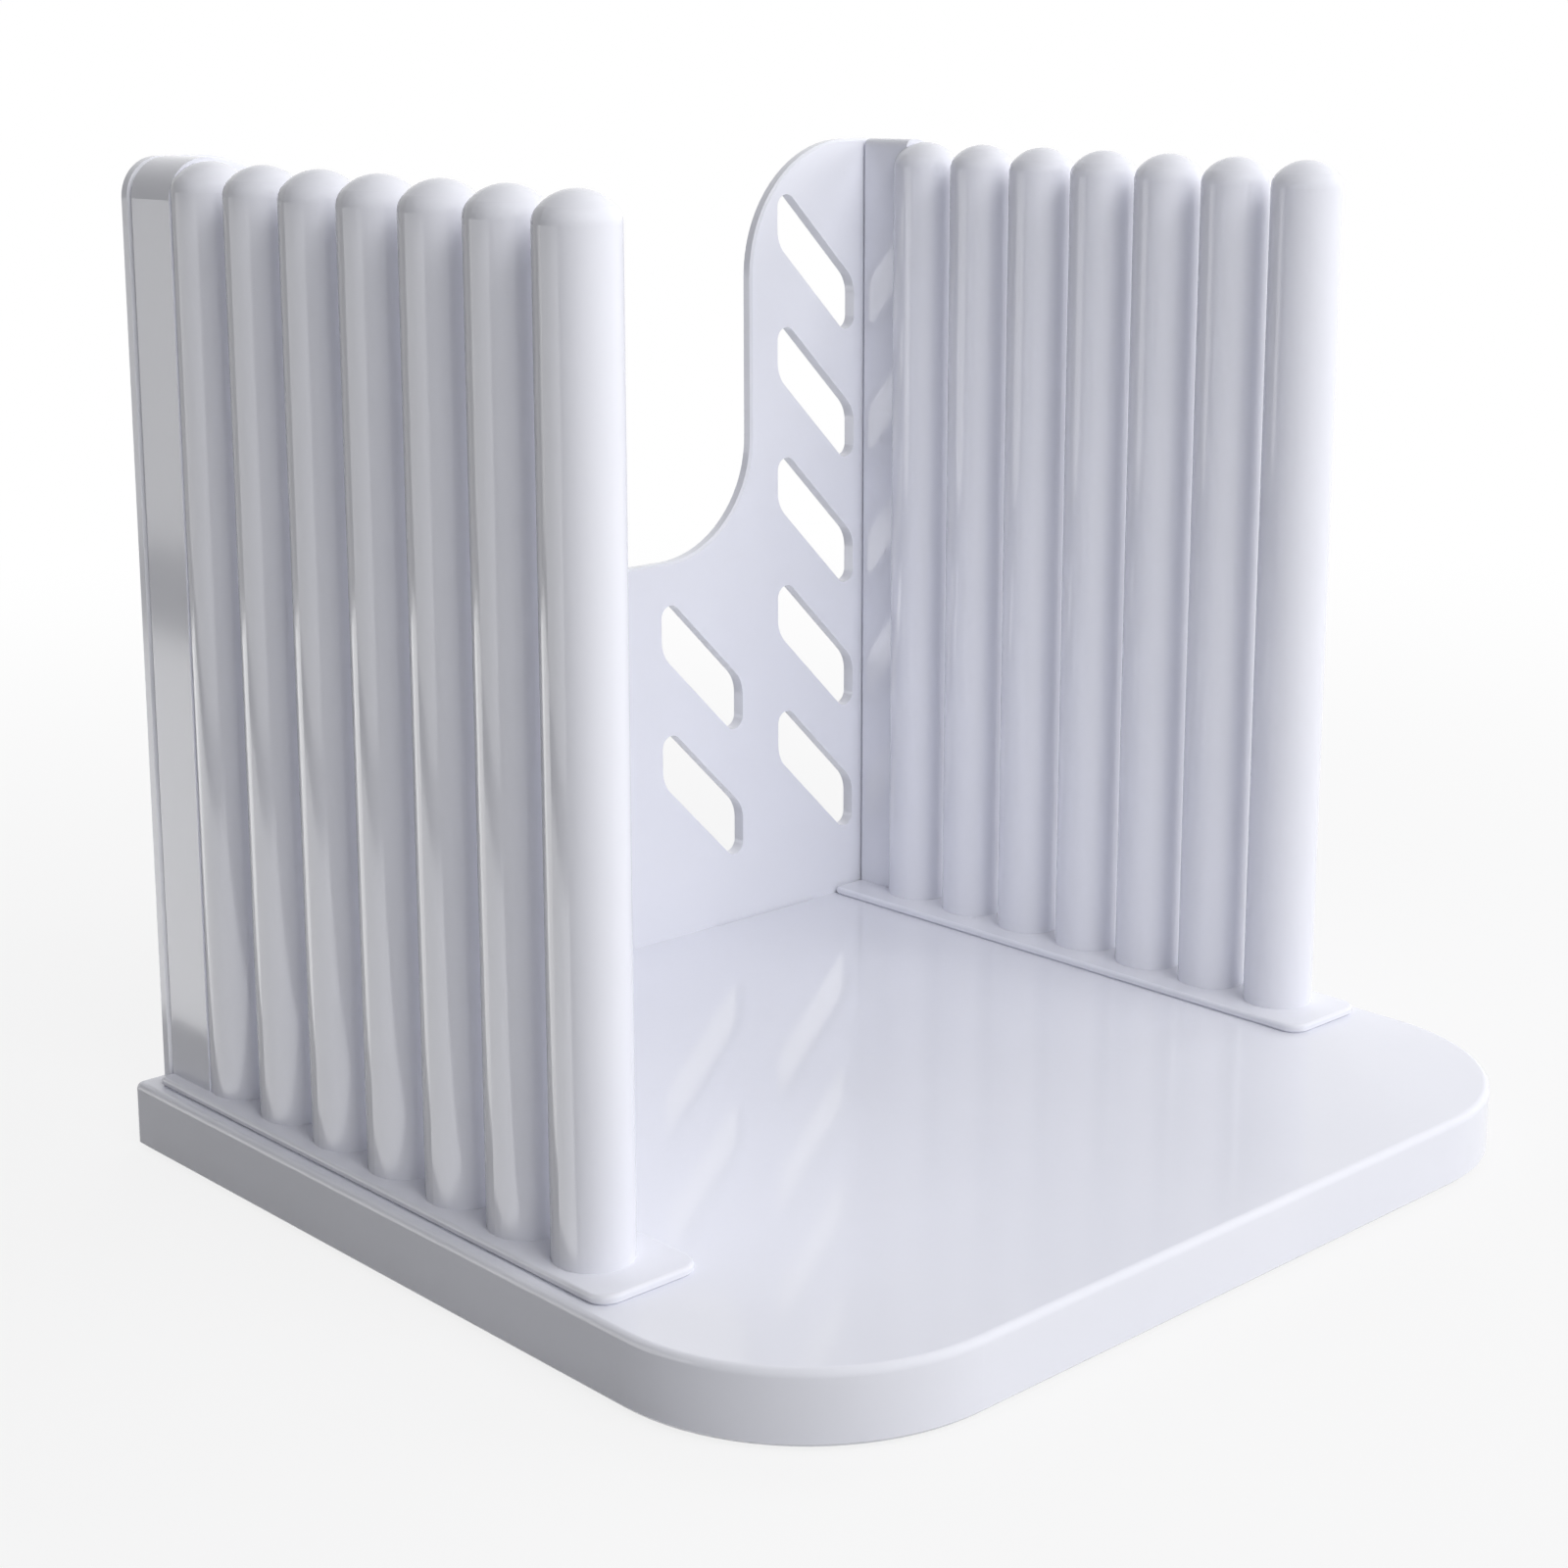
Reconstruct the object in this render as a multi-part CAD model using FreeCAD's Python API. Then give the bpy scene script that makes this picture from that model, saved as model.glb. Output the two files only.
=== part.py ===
import FreeCAD, Part
import math
import os

# A bread slicer guide of moulded plastic: a hollow base, two combs of round columns that steer
# the knife, a slotted back plate that stops the loaf, and four rubber feet.
# Millimetres. X runs across the guide, Y from its open front to the back plate, Z up.
# The origin is on the table, under the middle of the base.

V = FreeCAD.Vector
Z_UP = V(0, 0, 1)

# Base
base_width = 155.0
base_depth = 139.0
base_height = 9.5
front_corner = 29.5
rear_corner = 1.2
base_edge_round = 1.0
base_foot_bevel = 0.5
deck_thickness = 2.4
skirt_thickness = 2.2
rib_thickness = 1.4
rib_lift = 2.2             # the ribs end this far above the skirt's lower edge
rib_spacing_x = 56.0
rib_spacing_y = 44.0

# Rubber feet, each in a round pad under the base
foot_radius = 4.5
foot_proud = 0.5
foot_recess = 1.0
foot_bevel = 0.3
foot_clearance = 0.2
pad_wall = 1.8
foot_inset_x = 27.0        # from the base's side to a foot's middle
foot_inset_front = 24.0
foot_inset_rear = 13.0

# Combs
upright_height = 131.3     # from the deck to the top of the rear posts and of the back plate
comb_edge_gap = 2.0        # deck left bare outside a comb's flange
column_radius = 5.25
column_pitch = 12.9
column_count = 7
column_drop = 0.4          # the last column ends this far below the rear post
column_rise = 0.2          # each column is this much taller than the one in front of it
column_crown = 4.0         # height of the rounded top
column_shoulder = 3.0      # tighter round between the column's side and its crown
column_inset = 7.2         # from the flange's outer edge to the columns' middle
flange_width = 16.0
flange_thickness = 1.3
flange_corner = 3.0
flange_rear_corner = 1.0
flange_edge_round = 0.5
flange_seam_bevel = 0.35   # under the flange's edge, so that its joint with the deck shows
flange_lead = 5.1          # flange ahead of the front column
post_inset = 2.1           # from the flange's outer edge to the rear post's outer face
post_width = 7.5
post_length = 12.2         # from the last column's middle to the back of the comb
post_overlap = 2.0         # the post starts this far behind the last column's middle
post_edge_round = 0.6
post_top_round = 1.2       # inner top corner; the outer one matches the back plate's

# Back plate
plate_thickness = 2.2
plate_gap = 0.3            # between the back plate and the combs
plate_rear_gap = 1.3       # deck left bare behind the back plate
plate_corner = 5.5         # outer top corners
tower_width = 33.1
tower_round = 22.0         # inner top corner of a tower
scoop_floor = 63.9         # from the deck to the floor of the cut between the towers
scoop_round = 19.0         # between the cut's sides and its floor
slot_width = 17.8
slot_band = 10.9           # upright thickness of the slanting slot
slot_slope = 45.0          # degrees
slot_round = 5.5           # at a slot's blunt corners
slot_tip_round = 2.0       # at its sharp corners
slot_first_row = 23.4      # from the deck to the middle of the lowest slots
slot_row_pitch = 21.9
slot_margin = 18.2         # from the plate's side to the middle of the outer slots
slot_column_pitch = 26.0
slot_web = 4.0             # least plastic left over a slot
plate_edge_bevel = 0.4

# Tenons under the combs and the back plate, and their sockets in the base
tenon_length = 7.2
tenon_clearance = 0.2
tenon_bevel = 0.8
socket_wall = 1.5
socket_lift = 0.8          # the sockets' walls end this far above the skirt's lower edge
comb_tenon_width = 6.0
comb_tenon_span = 20.0
comb_tenon_pitch = 34.0
plate_tenon_thickness = 2.0
plate_tenon_span = 22.0
plate_tenon_pitch = 43.0

# Places that follow from the sizes above
deck_z = foot_proud + base_height
skirt_z = foot_proud
side_x = base_width / 2
back_y = base_depth / 2
front_y = -base_depth / 2
flange_outer_x = side_x - comb_edge_gap
flange_inner_x = flange_outer_x - flange_width
column_x = flange_outer_x - column_inset
plate_back_y = back_y - plate_rear_gap
plate_front_y = plate_back_y - plate_thickness
comb_back_y = plate_front_y - plate_gap
last_column_y = comb_back_y - post_length
first_column_y = last_column_y - (column_count - 1) * column_pitch
flange_front_y = first_column_y - column_radius - flange_lead
plate_half = flange_outer_x - post_inset


def rounded_wire(corners):
    """Closed wire in one plane from (point, radius) corners; radius 0 leaves a corner sharp."""
    count = len(corners)
    starts, ends, edges = [], [], []
    for i, (here, radius) in enumerate(corners):
        if radius == 0:
            starts.append(here)
            ends.append(here)
            continue
        before = (corners[i - 1][0] - here).normalize()
        after = (corners[(i + 1) % count][0] - here).normalize()
        half_angle = before.getAngle(after) / 2
        setback = radius / math.tan(half_angle)
        inward = (before + after).normalize()
        middle = here + inward * (radius / math.sin(half_angle) - radius)
        starts.append(here + before * setback)
        ends.append(here + after * setback)
        edges.append(Part.Arc(starts[i], middle, ends[i]).toShape())
    for i in range(count):
        edges.append(Part.makeLine(ends[i], starts[(i + 1) % count]))
    return Part.Wire(Part.__sortEdges__(edges))


def level_prism(corners, z, height):
    """Upright solid over a level outline of (x, y, radius) corners."""
    wire = rounded_wire([(V(x, y, z), radius) for x, y, radius in corners])
    return Part.Face(wire).extrude(V(0, 0, height))


def upright_prism(corners, y0, y1):
    """Solid between two upright planes, over an outline of (x, z, radius) corners."""
    wire = rounded_wire([(V(x, y0, z), radius) for x, z, radius in corners])
    return Part.Face(wire).extrude(V(0, y1 - y0, 0))


def block(x0, x1, y0, y1, z0, z1):
    """Box between two opposite corners."""
    return Part.makeBox(x1 - x0, y1 - y0, z1 - z0, V(x0, y0, z0))


def edges_at_height(shape, z):
    """Edges that lie in the level plane z."""
    flat = []
    for edge in shape.Edges:
        box = edge.BoundBox
        if abs(box.ZMin - z) < 1e-4 and abs(box.ZMax - z) < 1e-4:
            flat.append(edge)
    return flat


def base_prism(inset, z, height):
    """Solid over the base's outline, drawn in by inset all round."""
    x = side_x - inset
    front = front_corner - inset
    rear = max(rear_corner - inset, 0)
    corners = [(-x, front_y + inset, front), (x, front_y + inset, front)]
    corners += [(x, back_y - inset, rear), (-x, back_y - inset, rear)]
    return level_prism(corners, z, height)


def comb_tenons(side, grow, bottom, top):
    """Boxes of one comb's tenons, grown sideways by grow, between two heights."""
    middle_y = (flange_front_y + comb_back_y) / 2
    half_width = comb_tenon_width / 2 + grow
    half_span = comb_tenon_span / 2 + grow
    boxes = []
    for step in (-1, 0, 1):
        x = side * column_x
        y = middle_y + step * comb_tenon_pitch
        boxes.append(block(x - half_width, x + half_width, y - half_span, y + half_span, bottom, top))
    return boxes


def plate_tenons(grow, bottom, top):
    """Boxes of the back plate's tenons, level with its front face, grown sideways by grow."""
    half_span = plate_tenon_span / 2 + grow
    y0 = plate_front_y - grow
    y1 = plate_front_y + plate_tenon_thickness + grow
    boxes = []
    for step in (-1, 0, 1):
        x = step * plate_tenon_pitch
        boxes.append(block(x - half_span, x + half_span, y0, y1, bottom, top))
    return boxes


def all_tenons(grow, bottom, top):
    boxes = comb_tenons(-1, grow, bottom, top) + comb_tenons(1, grow, bottom, top)
    return boxes + plate_tenons(grow, bottom, top)


def foot_middles():
    """Name and place of each foot."""
    x = side_x - foot_inset_x
    front = front_y + foot_inset_front
    rear = back_y - foot_inset_rear
    places = [("front_left", -x, front), ("front_right", x, front)]
    return places + [("rear_left", -x, rear), ("rear_right", x, rear)]


def make_base():
    """Deck and skirt in one moulding, with ribs, foot pads and sockets underneath."""
    shell = base_prism(0, skirt_z, base_height)
    shell = shell.makeFillet(base_edge_round, edges_at_height(shell, deck_z))
    shell = shell.makeChamfer(base_foot_bevel, edges_at_height(shell, skirt_z))
    room = base_prism(skirt_thickness, skirt_z - 1, base_height - deck_thickness + 1)
    deck_under = deck_z - deck_thickness
    ribs = []
    for side in (-1, 1):
        x = side * rib_spacing_x / 2
        y = side * rib_spacing_y / 2
        half = rib_thickness / 2
        ribs.append(block(x - half, x + half, front_y, back_y, skirt_z + rib_lift, deck_under))
        ribs.append(block(-side_x, side_x, y - half, y + half, skirt_z + rib_lift, deck_under))
    pads = []
    recesses = []
    recess_radius = foot_radius + foot_clearance
    for name, x, y in foot_middles():
        pads.append(Part.makeCylinder(recess_radius + pad_wall, deck_under - skirt_z, V(x, y, skirt_z)))
        recesses.append(Part.makeCylinder(recess_radius, foot_recess + 1, V(x, y, skirt_z - 1)))
    walls = all_tenons(tenon_clearance + socket_wall, skirt_z + socket_lift, deck_under)
    inside = ribs[0].multiFuse(ribs[1:] + pads + walls).common(room)
    base = shell.cut(room).fuse(inside)
    base = base.cut(all_tenons(tenon_clearance, skirt_z - 1, deck_z + 1))
    return base.cut(recesses).removeSplitter()


def make_foot(x, y):
    """Rubber button, seated in its pad and standing proud of the skirt."""
    button = Part.makeCylinder(foot_radius, foot_proud + foot_recess, V(x, y, 0))
    return button.makeChamfer(foot_bevel, edges_at_height(button, 0))


def column_profile(top_z):
    """Half section of a column in the XZ plane, from the flange to the crown, closed on its axis."""
    foot_z = deck_z + flange_thickness
    side_top = top_z - column_crown
    # the crown's arc and the shoulder's arc meet at a common tangent
    shoulder_x = column_radius - column_shoulder
    rise = column_crown - column_shoulder
    crown_drop = (shoulder_x ** 2 - rise ** 2) / (2 * rise)
    crown_radius = column_crown + crown_drop
    crown_centre = V(0, 0, side_top - crown_drop)
    shoulder_centre = V(shoulder_x, 0, side_top)
    toward = (shoulder_centre - crown_centre).normalize()
    lean = math.atan2(toward.x, toward.z)
    meet = crown_centre + toward * crown_radius
    crown_mid = crown_centre + V(math.sin(lean / 2), 0, math.cos(lean / 2)) * crown_radius
    shoulder_turn = (math.pi / 2 + lean) / 2
    shoulder_mid = shoulder_centre + V(math.sin(shoulder_turn), 0, math.cos(shoulder_turn)) * column_shoulder
    bottom = V(0, 0, foot_z)
    toe = V(column_radius, 0, foot_z)
    edges = [
        Part.makeLine(bottom, toe),
        Part.makeLine(toe, V(column_radius, 0, side_top)),
        Part.Arc(V(column_radius, 0, side_top), shoulder_mid, meet).toShape(),
        Part.Arc(meet, crown_mid, V(0, 0, top_z)).toShape(),
        Part.makeLine(V(0, 0, top_z), bottom),
    ]
    return Part.Wire(edges)


def make_column(index):
    """One round column, counted from the front of the comb."""
    behind = column_count - 1 - index
    top_z = deck_z + upright_height - column_drop - behind * column_rise
    column = Part.Face(column_profile(top_z)).revolve(V(0, 0, 0), Z_UP, 360)
    column.translate(V(column_x, first_column_y + index * column_pitch, 0))
    return column


def make_post():
    """Flat post that closes the comb against the back plate, rounded like the plate's corner."""
    outer = flange_outer_x - post_inset
    inner = outer - post_width
    y0 = last_column_y + post_overlap
    foot_z = deck_z + flange_thickness
    top_z = deck_z + upright_height
    outer_round = min(plate_corner, post_width - post_top_round - post_edge_round)
    corners = [(inner, foot_z, 0), (outer, foot_z, 0)]
    corners += [(outer, top_z, outer_round), (inner, top_z, post_top_round)]
    post = upright_prism(corners, y0, comb_back_y)
    rear_edges = []
    for edge in post.Edges:
        box = edge.BoundBox
        if box.YMin > comb_back_y - 1e-4 and box.ZMax > foot_z + 1e-3:
            rear_edges.append(edge)
    return post.makeFillet(post_edge_round, rear_edges)


def beveled_tenon(box):
    """Tenon with its lower edges beveled, so that it finds its socket."""
    return box.makeChamfer(tenon_bevel, edges_at_height(box, box.BoundBox.ZMin))


def make_right_comb():
    """Flange, row of columns, rear post and tenons in one moulding."""
    corners = [
        (flange_inner_x, flange_front_y, flange_corner),
        (flange_outer_x, flange_front_y, flange_corner),
        (flange_outer_x, comb_back_y, flange_rear_corner),
        (flange_inner_x, comb_back_y, flange_rear_corner),
    ]
    flange = level_prism(corners, deck_z, flange_thickness)
    flange = flange.makeFillet(flange_edge_round, edges_at_height(flange, deck_z + flange_thickness))
    flange = flange.makeChamfer(flange_seam_bevel, edges_at_height(flange, deck_z))
    pieces = [make_post()] + [make_column(i) for i in range(column_count)]
    for box in comb_tenons(1, 0, deck_z - tenon_length, deck_z):
        pieces.append(beveled_tenon(box))
    return flange.multiFuse(pieces).removeSplitter()


def make_slot(x, z, side):
    """Cutter for one slanting slot; side mirrors its lean about the middle of the plate."""
    half = slot_width / 2
    rise = half * math.tan(math.radians(slot_slope))
    band = slot_band / 2
    shape = [(-half, rise - band, slot_round), (half, -rise - band, slot_tip_round)]
    shape += [(half, -rise + band, slot_round), (-half, rise + band, slot_tip_round)]
    corners = [(x + side * dx, z + dz, radius) for dx, dz, radius in shape]
    return upright_prism(corners, plate_front_y - 1, plate_back_y + 1)


def slot_cutters():
    """All slots: a full column in each tower, and a short one under the cut between the towers."""
    half_height = slot_width / 2 * math.tan(math.radians(slot_slope)) + slot_band / 2
    tall = int((upright_height - slot_web - half_height - slot_first_row) / slot_row_pitch) + 1
    short = int((scoop_floor - half_height - slot_first_row) / slot_row_pitch) + 1
    cutters = []
    for side in (-1, 1):
        outer_x = side * (plate_half - slot_margin)
        inner_x = outer_x - side * slot_column_pitch
        for row in range(tall):
            cutters.append(make_slot(outer_x, deck_z + slot_first_row + row * slot_row_pitch, side))
        for row in range(short):
            cutters.append(make_slot(inner_x, deck_z + slot_first_row + row * slot_row_pitch, side))
    return cutters


def make_back_plate():
    """Slotted stop plate with its tenons: two towers with a rounded cut between them."""
    top = deck_z + upright_height
    floor = deck_z + scoop_floor
    scoop_half = plate_half - tower_width
    inner_round = min(tower_round, tower_width - plate_corner - 1)
    half_outline = [(plate_half, deck_z, 0), (plate_half, top, plate_corner)]
    half_outline += [(scoop_half, top, inner_round), (scoop_half, floor, scoop_round)]
    outline = half_outline + [(-x, z, radius) for x, z, radius in reversed(half_outline)]
    plate = upright_prism(outline, plate_front_y, plate_back_y)
    rims = []
    for edge in plate.Edges:
        box = edge.BoundBox
        if box.YLength < 1e-4 and box.ZMax > deck_z + 1e-3:
            rims.append(edge)
    plate = plate.makeChamfer(plate_edge_bevel, rims).cut(slot_cutters())
    tenons = [beveled_tenon(box) for box in plate_tenons(0, deck_z - tenon_length, deck_z)]
    return plate.multiFuse(tenons).removeSplitter()


def export(name, shape):
    shape.exportStep("parts/" + name + ".step")
    print(name, len(shape.Solids), shape.isValid(), round(shape.Volume, 1))


os.makedirs("parts", exist_ok=True)
right_comb = make_right_comb()
export("base", make_base())
export("right_comb", right_comb)
export("left_comb", right_comb.mirror(V(0, 0, 0), V(1, 0, 0)))
export("back_plate", make_back_plate())
for foot_name, foot_x, foot_y in foot_middles():
    export("foot_" + foot_name, make_foot(foot_x, foot_y))
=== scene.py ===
import bpy
import math
from mathutils import Matrix, Vector

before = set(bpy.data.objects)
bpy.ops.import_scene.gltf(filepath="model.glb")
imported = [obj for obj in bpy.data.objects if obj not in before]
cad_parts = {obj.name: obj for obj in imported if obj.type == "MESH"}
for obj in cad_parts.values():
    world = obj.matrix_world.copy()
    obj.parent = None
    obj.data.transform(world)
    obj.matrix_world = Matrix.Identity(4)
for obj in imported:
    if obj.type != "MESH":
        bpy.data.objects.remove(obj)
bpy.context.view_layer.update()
print("guide loaded:", len(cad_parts), "pieces")

combPlastic = {
    "colour": (0.830, 0.838, 0.905),
    "shade": (0.812, 0.821, 0.890),    # the slightly deeper tone in the soft mottling
    "mottleScale": 28.0,
    "mottleDetail": 4.0,
    "mottleSpan": (0.35, 0.65),        # the part of the noise that fades from shade to colour
    "roughness": (0.09, 0.13),         # the gloss wanders between these two
    "sheenScale": 140.0,
    "grainScale": 900.0,
    "grainDepth": 0.00001,             # metres
    "grainStrength": 0.6,
    "ior": 1.49,
}
platePlastic = {
    **combPlastic,
    "colour": (0.878, 0.888, 0.952),
    "shade": (0.862, 0.873, 0.940),
    "roughness": (0.12, 0.17),
}
basePlastic = {
    **combPlastic,
    "colour": (0.830, 0.839, 0.908),
    "shade": (0.814, 0.824, 0.895),
    "roughness": (0.05, 0.09),
    "grainDepth": 0.000012,
}
footRubber = {
    "colour": (0.16, 0.16, 0.17),
    "dust": (0.24, 0.24, 0.25),
    "dustScale": 350.0,
    "dustSpan": (0.45, 0.75),          # the part of the noise that fades from clean to dusty
    "roughness": 0.7,
    "grainScale": 1500.0,
    "grainDepth": 0.00003,
    "grainStrength": 1.0,
}


def newMaterial(name):
    material = bpy.data.materials.new(name)
    material.use_nodes = True
    return material


def noisePattern(tree, scale, detail=2.0):
    # noise that stays on its piece when the piece moves
    place = tree.nodes.new("ShaderNodeTexCoord")
    noise = tree.nodes.new("ShaderNodeTexNoise")
    noise.inputs["Scale"].default_value = scale
    noise.inputs["Detail"].default_value = detail
    tree.links.new(place.outputs["Object"], noise.inputs["Vector"])
    return noise.outputs["Fac"]


def twoTones(tree, pattern, low, high, span):
    tone = tree.nodes.new("ShaderNodeValToRGB")
    lowEnd, highEnd = tone.color_ramp.elements
    lowEnd.position, highEnd.position = span
    lowEnd.color = low + (1.0,)
    highEnd.color = high + (1.0,)
    tree.links.new(pattern, tone.inputs["Fac"])
    return tone.outputs["Color"]


def fineGrain(tree, spec):
    bump = tree.nodes.new("ShaderNodeBump")
    bump.inputs["Distance"].default_value = spec["grainDepth"]
    bump.inputs["Strength"].default_value = spec["grainStrength"]
    tree.links.new(noisePattern(tree, spec["grainScale"]), bump.inputs["Height"])
    return bump.outputs["Normal"]


def glossyPlastic(name, spec):
    material = newMaterial(name)
    tree = material.node_tree
    shader = tree.nodes["Principled BSDF"]
    shader.inputs["IOR"].default_value = spec["ior"]
    mottle = noisePattern(tree, spec["mottleScale"], spec["mottleDetail"])
    tone = twoTones(tree, mottle, spec["shade"], spec["colour"], spec["mottleSpan"])
    tree.links.new(tone, shader.inputs["Base Color"])
    gloss = tree.nodes.new("ShaderNodeMapRange")
    gloss.inputs["To Min"].default_value = spec["roughness"][0]
    gloss.inputs["To Max"].default_value = spec["roughness"][1]
    tree.links.new(noisePattern(tree, spec["sheenScale"]), gloss.inputs["Value"])
    tree.links.new(gloss.outputs["Result"], shader.inputs["Roughness"])
    tree.links.new(fineGrain(tree, spec), shader.inputs["Normal"])
    return material


def mattRubber(name, spec):
    material = newMaterial(name)
    tree = material.node_tree
    shader = tree.nodes["Principled BSDF"]
    shader.inputs["Roughness"].default_value = spec["roughness"]
    dust = noisePattern(tree, spec["dustScale"])
    tone = twoTones(tree, dust, spec["colour"], spec["dust"], spec["dustSpan"])
    tree.links.new(tone, shader.inputs["Base Color"])
    tree.links.new(fineGrain(tree, spec), shader.inputs["Normal"])
    return material


baseFinish = glossyPlastic("baseWhite", basePlastic)
plateFinish = glossyPlastic("plateWhite", platePlastic)
combFinish = glossyPlastic("combWhite", combPlastic)
footFinish = mattRubber("footRubber", footRubber)
finishes = {
    "base": baseFinish,
    "back_plate": plateFinish,
    "left_comb": combFinish,
    "right_comb": combFinish,
    "foot_front_left": footFinish,
    "foot_front_right": footFinish,
    "foot_rear_left": footFinish,
    "foot_rear_right": footFinish,
}
for name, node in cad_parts.items():
    node.data.materials.clear()
    node.data.materials.append(finishes[name])
print("finishes done")


def backdropRays(tree):
    # 1 for the rays that show the backdrop itself: in the lens, in a gloss or through a clear part
    path = tree.nodes.new("ShaderNodeLightPath")
    rays = path.outputs["Is Camera Ray"]
    for kind in ("Is Glossy Ray", "Is Transmission Ray"):
        either = tree.nodes.new("ShaderNodeMath")
        either.operation = "MAXIMUM"
        tree.links.new(rays, either.inputs[0])
        tree.links.new(path.outputs[kind], either.inputs[1])
        rays = either.outputs[0]
    return rays


def blendShaders(tree, share, first, second, output):
    mix = tree.nodes.new("ShaderNodeMixShader")
    tree.links.new(share, mix.inputs["Fac"])
    tree.links.new(first, mix.inputs[1])
    tree.links.new(second, mix.inputs[2])
    tree.links.new(mix.outputs["Shader"], tree.nodes[output].inputs["Surface"])


studioFloor = {
    "size": 8.0,
    "colour": (0.62, 0.62, 0.63),
    "roughness": 0.9,
    "specular": 0.0,          # the paper mirrors nothing
    "whiteLevel": 1.0,
    "nearWhite": 0.84,        # how far the paper is lifted to white beside the guide
    "farWhite": 1.0,
    "fadeFrom": 0.12,         # metres from the middle of the guide
    "fadeTo": 0.55,           # from here on it is as white as the backdrop
}


def floorPaper(name, spec):
    material = newMaterial(name)
    tree = material.node_tree
    paper = tree.nodes["Principled BSDF"]
    paper.inputs["Base Color"].default_value = spec["colour"] + (1.0,)
    paper.inputs["Roughness"].default_value = spec["roughness"]
    paper.inputs["Specular IOR Level"].default_value = spec["specular"]
    white = tree.nodes.new("ShaderNodeEmission")
    white.inputs["Strength"].default_value = spec["whiteLevel"]
    place = tree.nodes.new("ShaderNodeTexCoord")
    away = tree.nodes.new("ShaderNodeVectorMath")
    away.operation = "LENGTH"
    tree.links.new(place.outputs["Object"], away.inputs[0])
    fade = tree.nodes.new("ShaderNodeMapRange")
    fade.interpolation_type = "SMOOTHSTEP"
    fade.inputs["From Min"].default_value = spec["fadeFrom"]
    fade.inputs["From Max"].default_value = spec["fadeTo"]
    fade.inputs["To Min"].default_value = spec["nearWhite"]
    fade.inputs["To Max"].default_value = spec["farWhite"]
    tree.links.new(away.outputs["Value"], fade.inputs["Value"])
    share = tree.nodes.new("ShaderNodeMath")
    share.operation = "MULTIPLY"
    tree.links.new(backdropRays(tree), share.inputs[0])
    tree.links.new(fade.outputs["Result"], share.inputs[1])
    lit = paper.outputs["BSDF"]
    blendShaders(tree, share.outputs[0], lit, white.outputs["Emission"], "Material Output")
    return material


bpy.ops.object.select_all(action="DESELECT")
bpy.ops.mesh.primitive_plane_add(size=studioFloor["size"], location=(0, 0, 0))
floor = bpy.context.object
floor.name = "floor"
floor.data.materials.append(floorPaper("floorPaper", studioFloor))
print("floor done")

surroundings = {
    "ambientColour": (0.97, 0.98, 1.0),
    "ambientLevel": 0.03,     # a little light from all sides
    "backdropColour": (1.0, 1.0, 1.0),
    "backdropLevel": 1.0,     # plain white behind the guide
}
world = bpy.data.worlds.new("studioWorld")
bpy.context.scene.world = world
world.use_nodes = True
sky = world.node_tree
ambient = sky.nodes["Background"]
ambient.inputs["Color"].default_value = surroundings["ambientColour"] + (1.0,)
ambient.inputs["Strength"].default_value = surroundings["ambientLevel"]
backdrop = sky.nodes.new("ShaderNodeBackground")
backdrop.inputs["Color"].default_value = surroundings["backdropColour"] + (1.0,)
backdrop.inputs["Strength"].default_value = surroundings["backdropLevel"]
glow = ambient.outputs["Background"]
blendShaders(sky, backdropRays(sky), glow, backdrop.outputs["Background"], "World Output")
print("backdrop done")

# direction in degrees (0 in front, 90 on the right), height above the floor's plane in degrees,
# size (width, height) in metres, brightness where 1 is white
softboxes = {
    "front": {"turn": -15, "height": 18, "size": (0.5, 0.5), "level": 1.8},
    "frontLeft": {"turn": -45, "height": 18, "size": (0.5, 0.5), "level": 0.6},
    "frontRight": {"turn": 45, "height": 18, "size": (0.5, 0.5), "level": 3.2},
    "right": {"turn": 80, "height": 18, "size": (0.5, 0.5), "level": 3.6},
    "rearRight": {"turn": 150, "height": 18, "size": (0.5, 0.5), "level": 1.5},
    "rear": {"turn": 178, "height": 18, "size": (0.5, 0.5), "level": 3.0},
    "frontHigh": {"turn": -1, "height": 48, "size": (0.8, 0.45), "level": 5.4},
    "rearHigh": {"turn": 120, "height": 48, "size": (0.55, 0.45), "level": 2.5},
}
lampReach = 1.0                        # from the middle of the guide to each softbox
lampMiddle = Vector((0, 0, 0.07))
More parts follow.
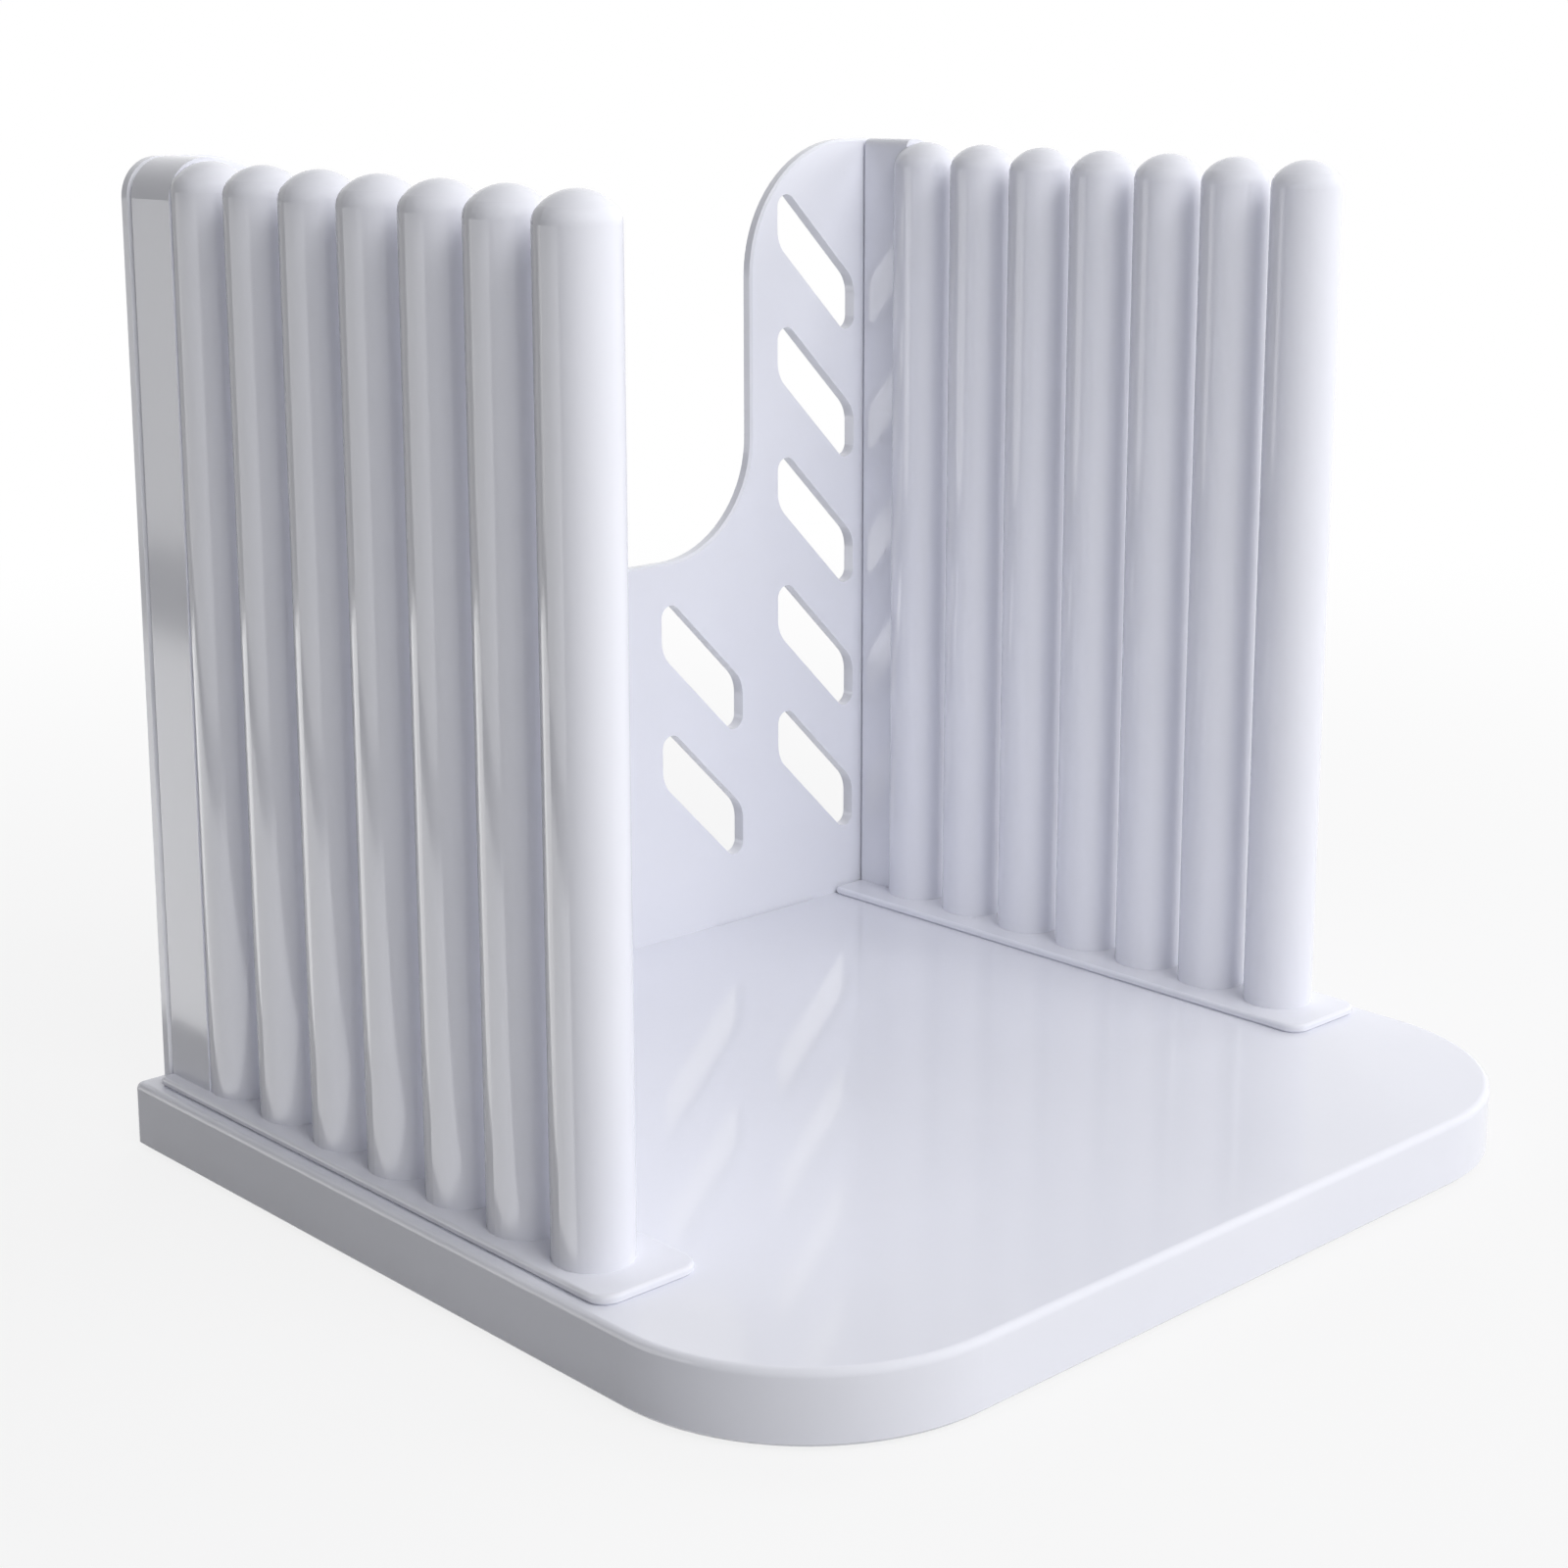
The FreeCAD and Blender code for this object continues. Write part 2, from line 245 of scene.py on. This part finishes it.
# cards that only show in the gloss of the plastic, at place and facing aim
cards = {
    "upright": {
        "place": (-0.33, 0.26, 0.062),
        "aim": (0, 0.26, 0.062),
        "size": (0.58, 0.12),
        "level": 1.8,
    },
    "lying": {
        "place": (-0.18, 0.20, 0.0012),
        "aim": (-0.18, 0.20, 1),
        "size": (0.16, 0.46),
        "level": 2.5,
    },
}


def awayFrom(turnDegrees, heightDegrees):
    turn = math.radians(turnDegrees)
    height = math.radians(heightDegrees)
    flat = math.cos(height)
    return Vector((math.sin(turn) * flat, -math.cos(turn) * flat, math.sin(height)))


def softLamp(name, spec, place, aim):
    bpy.ops.object.light_add(type="AREA", location=place)
    lamp = bpy.context.object
    lamp.name = name
    lamp.data.shape = "RECTANGLE"
    lamp.data.size, lamp.data.size_y = spec["size"]
    lamp.data.energy = math.pi * spec["size"][0] * spec["size"][1] * spec["level"]
    sight = Vector(aim) - Vector(place)
    lamp.rotation_euler = sight.to_track_quat("-Z", "Y").to_euler()
    lamp.visible_camera = False
    return lamp


for name, spec in softboxes.items():
    away = awayFrom(spec["turn"], spec["height"])
    softbox = softLamp(name, spec, lampMiddle + away * lampReach, lampMiddle)
    softbox.visible_glossy = False
for name, spec in cards.items():
    card = softLamp(name, spec, spec["place"], spec["aim"])
    card.visible_diffuse = False
print("lamps done")

# angles in degrees: turn is about the upright, and tilt is how far the lens looks down
view = {
    "place": (-0.262311, -0.265138, 0.152589),
    "turn": -43.1095,
    "tilt": 11.5799,
    "roll": -0.067,
    "lens": 62.4167,          # millimetres, and so is the sensor's width
    "sensorWidth": 36.0,
    "shiftY": -0.1,
}
turned = Matrix.Rotation(math.radians(view["turn"]), 4, "Z")
tilted = Matrix.Rotation(math.radians(90 - view["tilt"]), 4, "X")
rolled = Matrix.Rotation(math.radians(view["roll"]), 4, "Z")
bpy.ops.object.camera_add()
camera = bpy.context.object
camera.matrix_world = Matrix.Translation(view["place"]) @ turned @ tilted @ rolled
camera.data.lens = view["lens"]
camera.data.sensor_width = view["sensorWidth"]
camera.data.shift_y = view["shiftY"]
bpy.context.scene.camera = camera
bpy.context.scene.view_settings.view_transform = "Standard"
print("camera done")
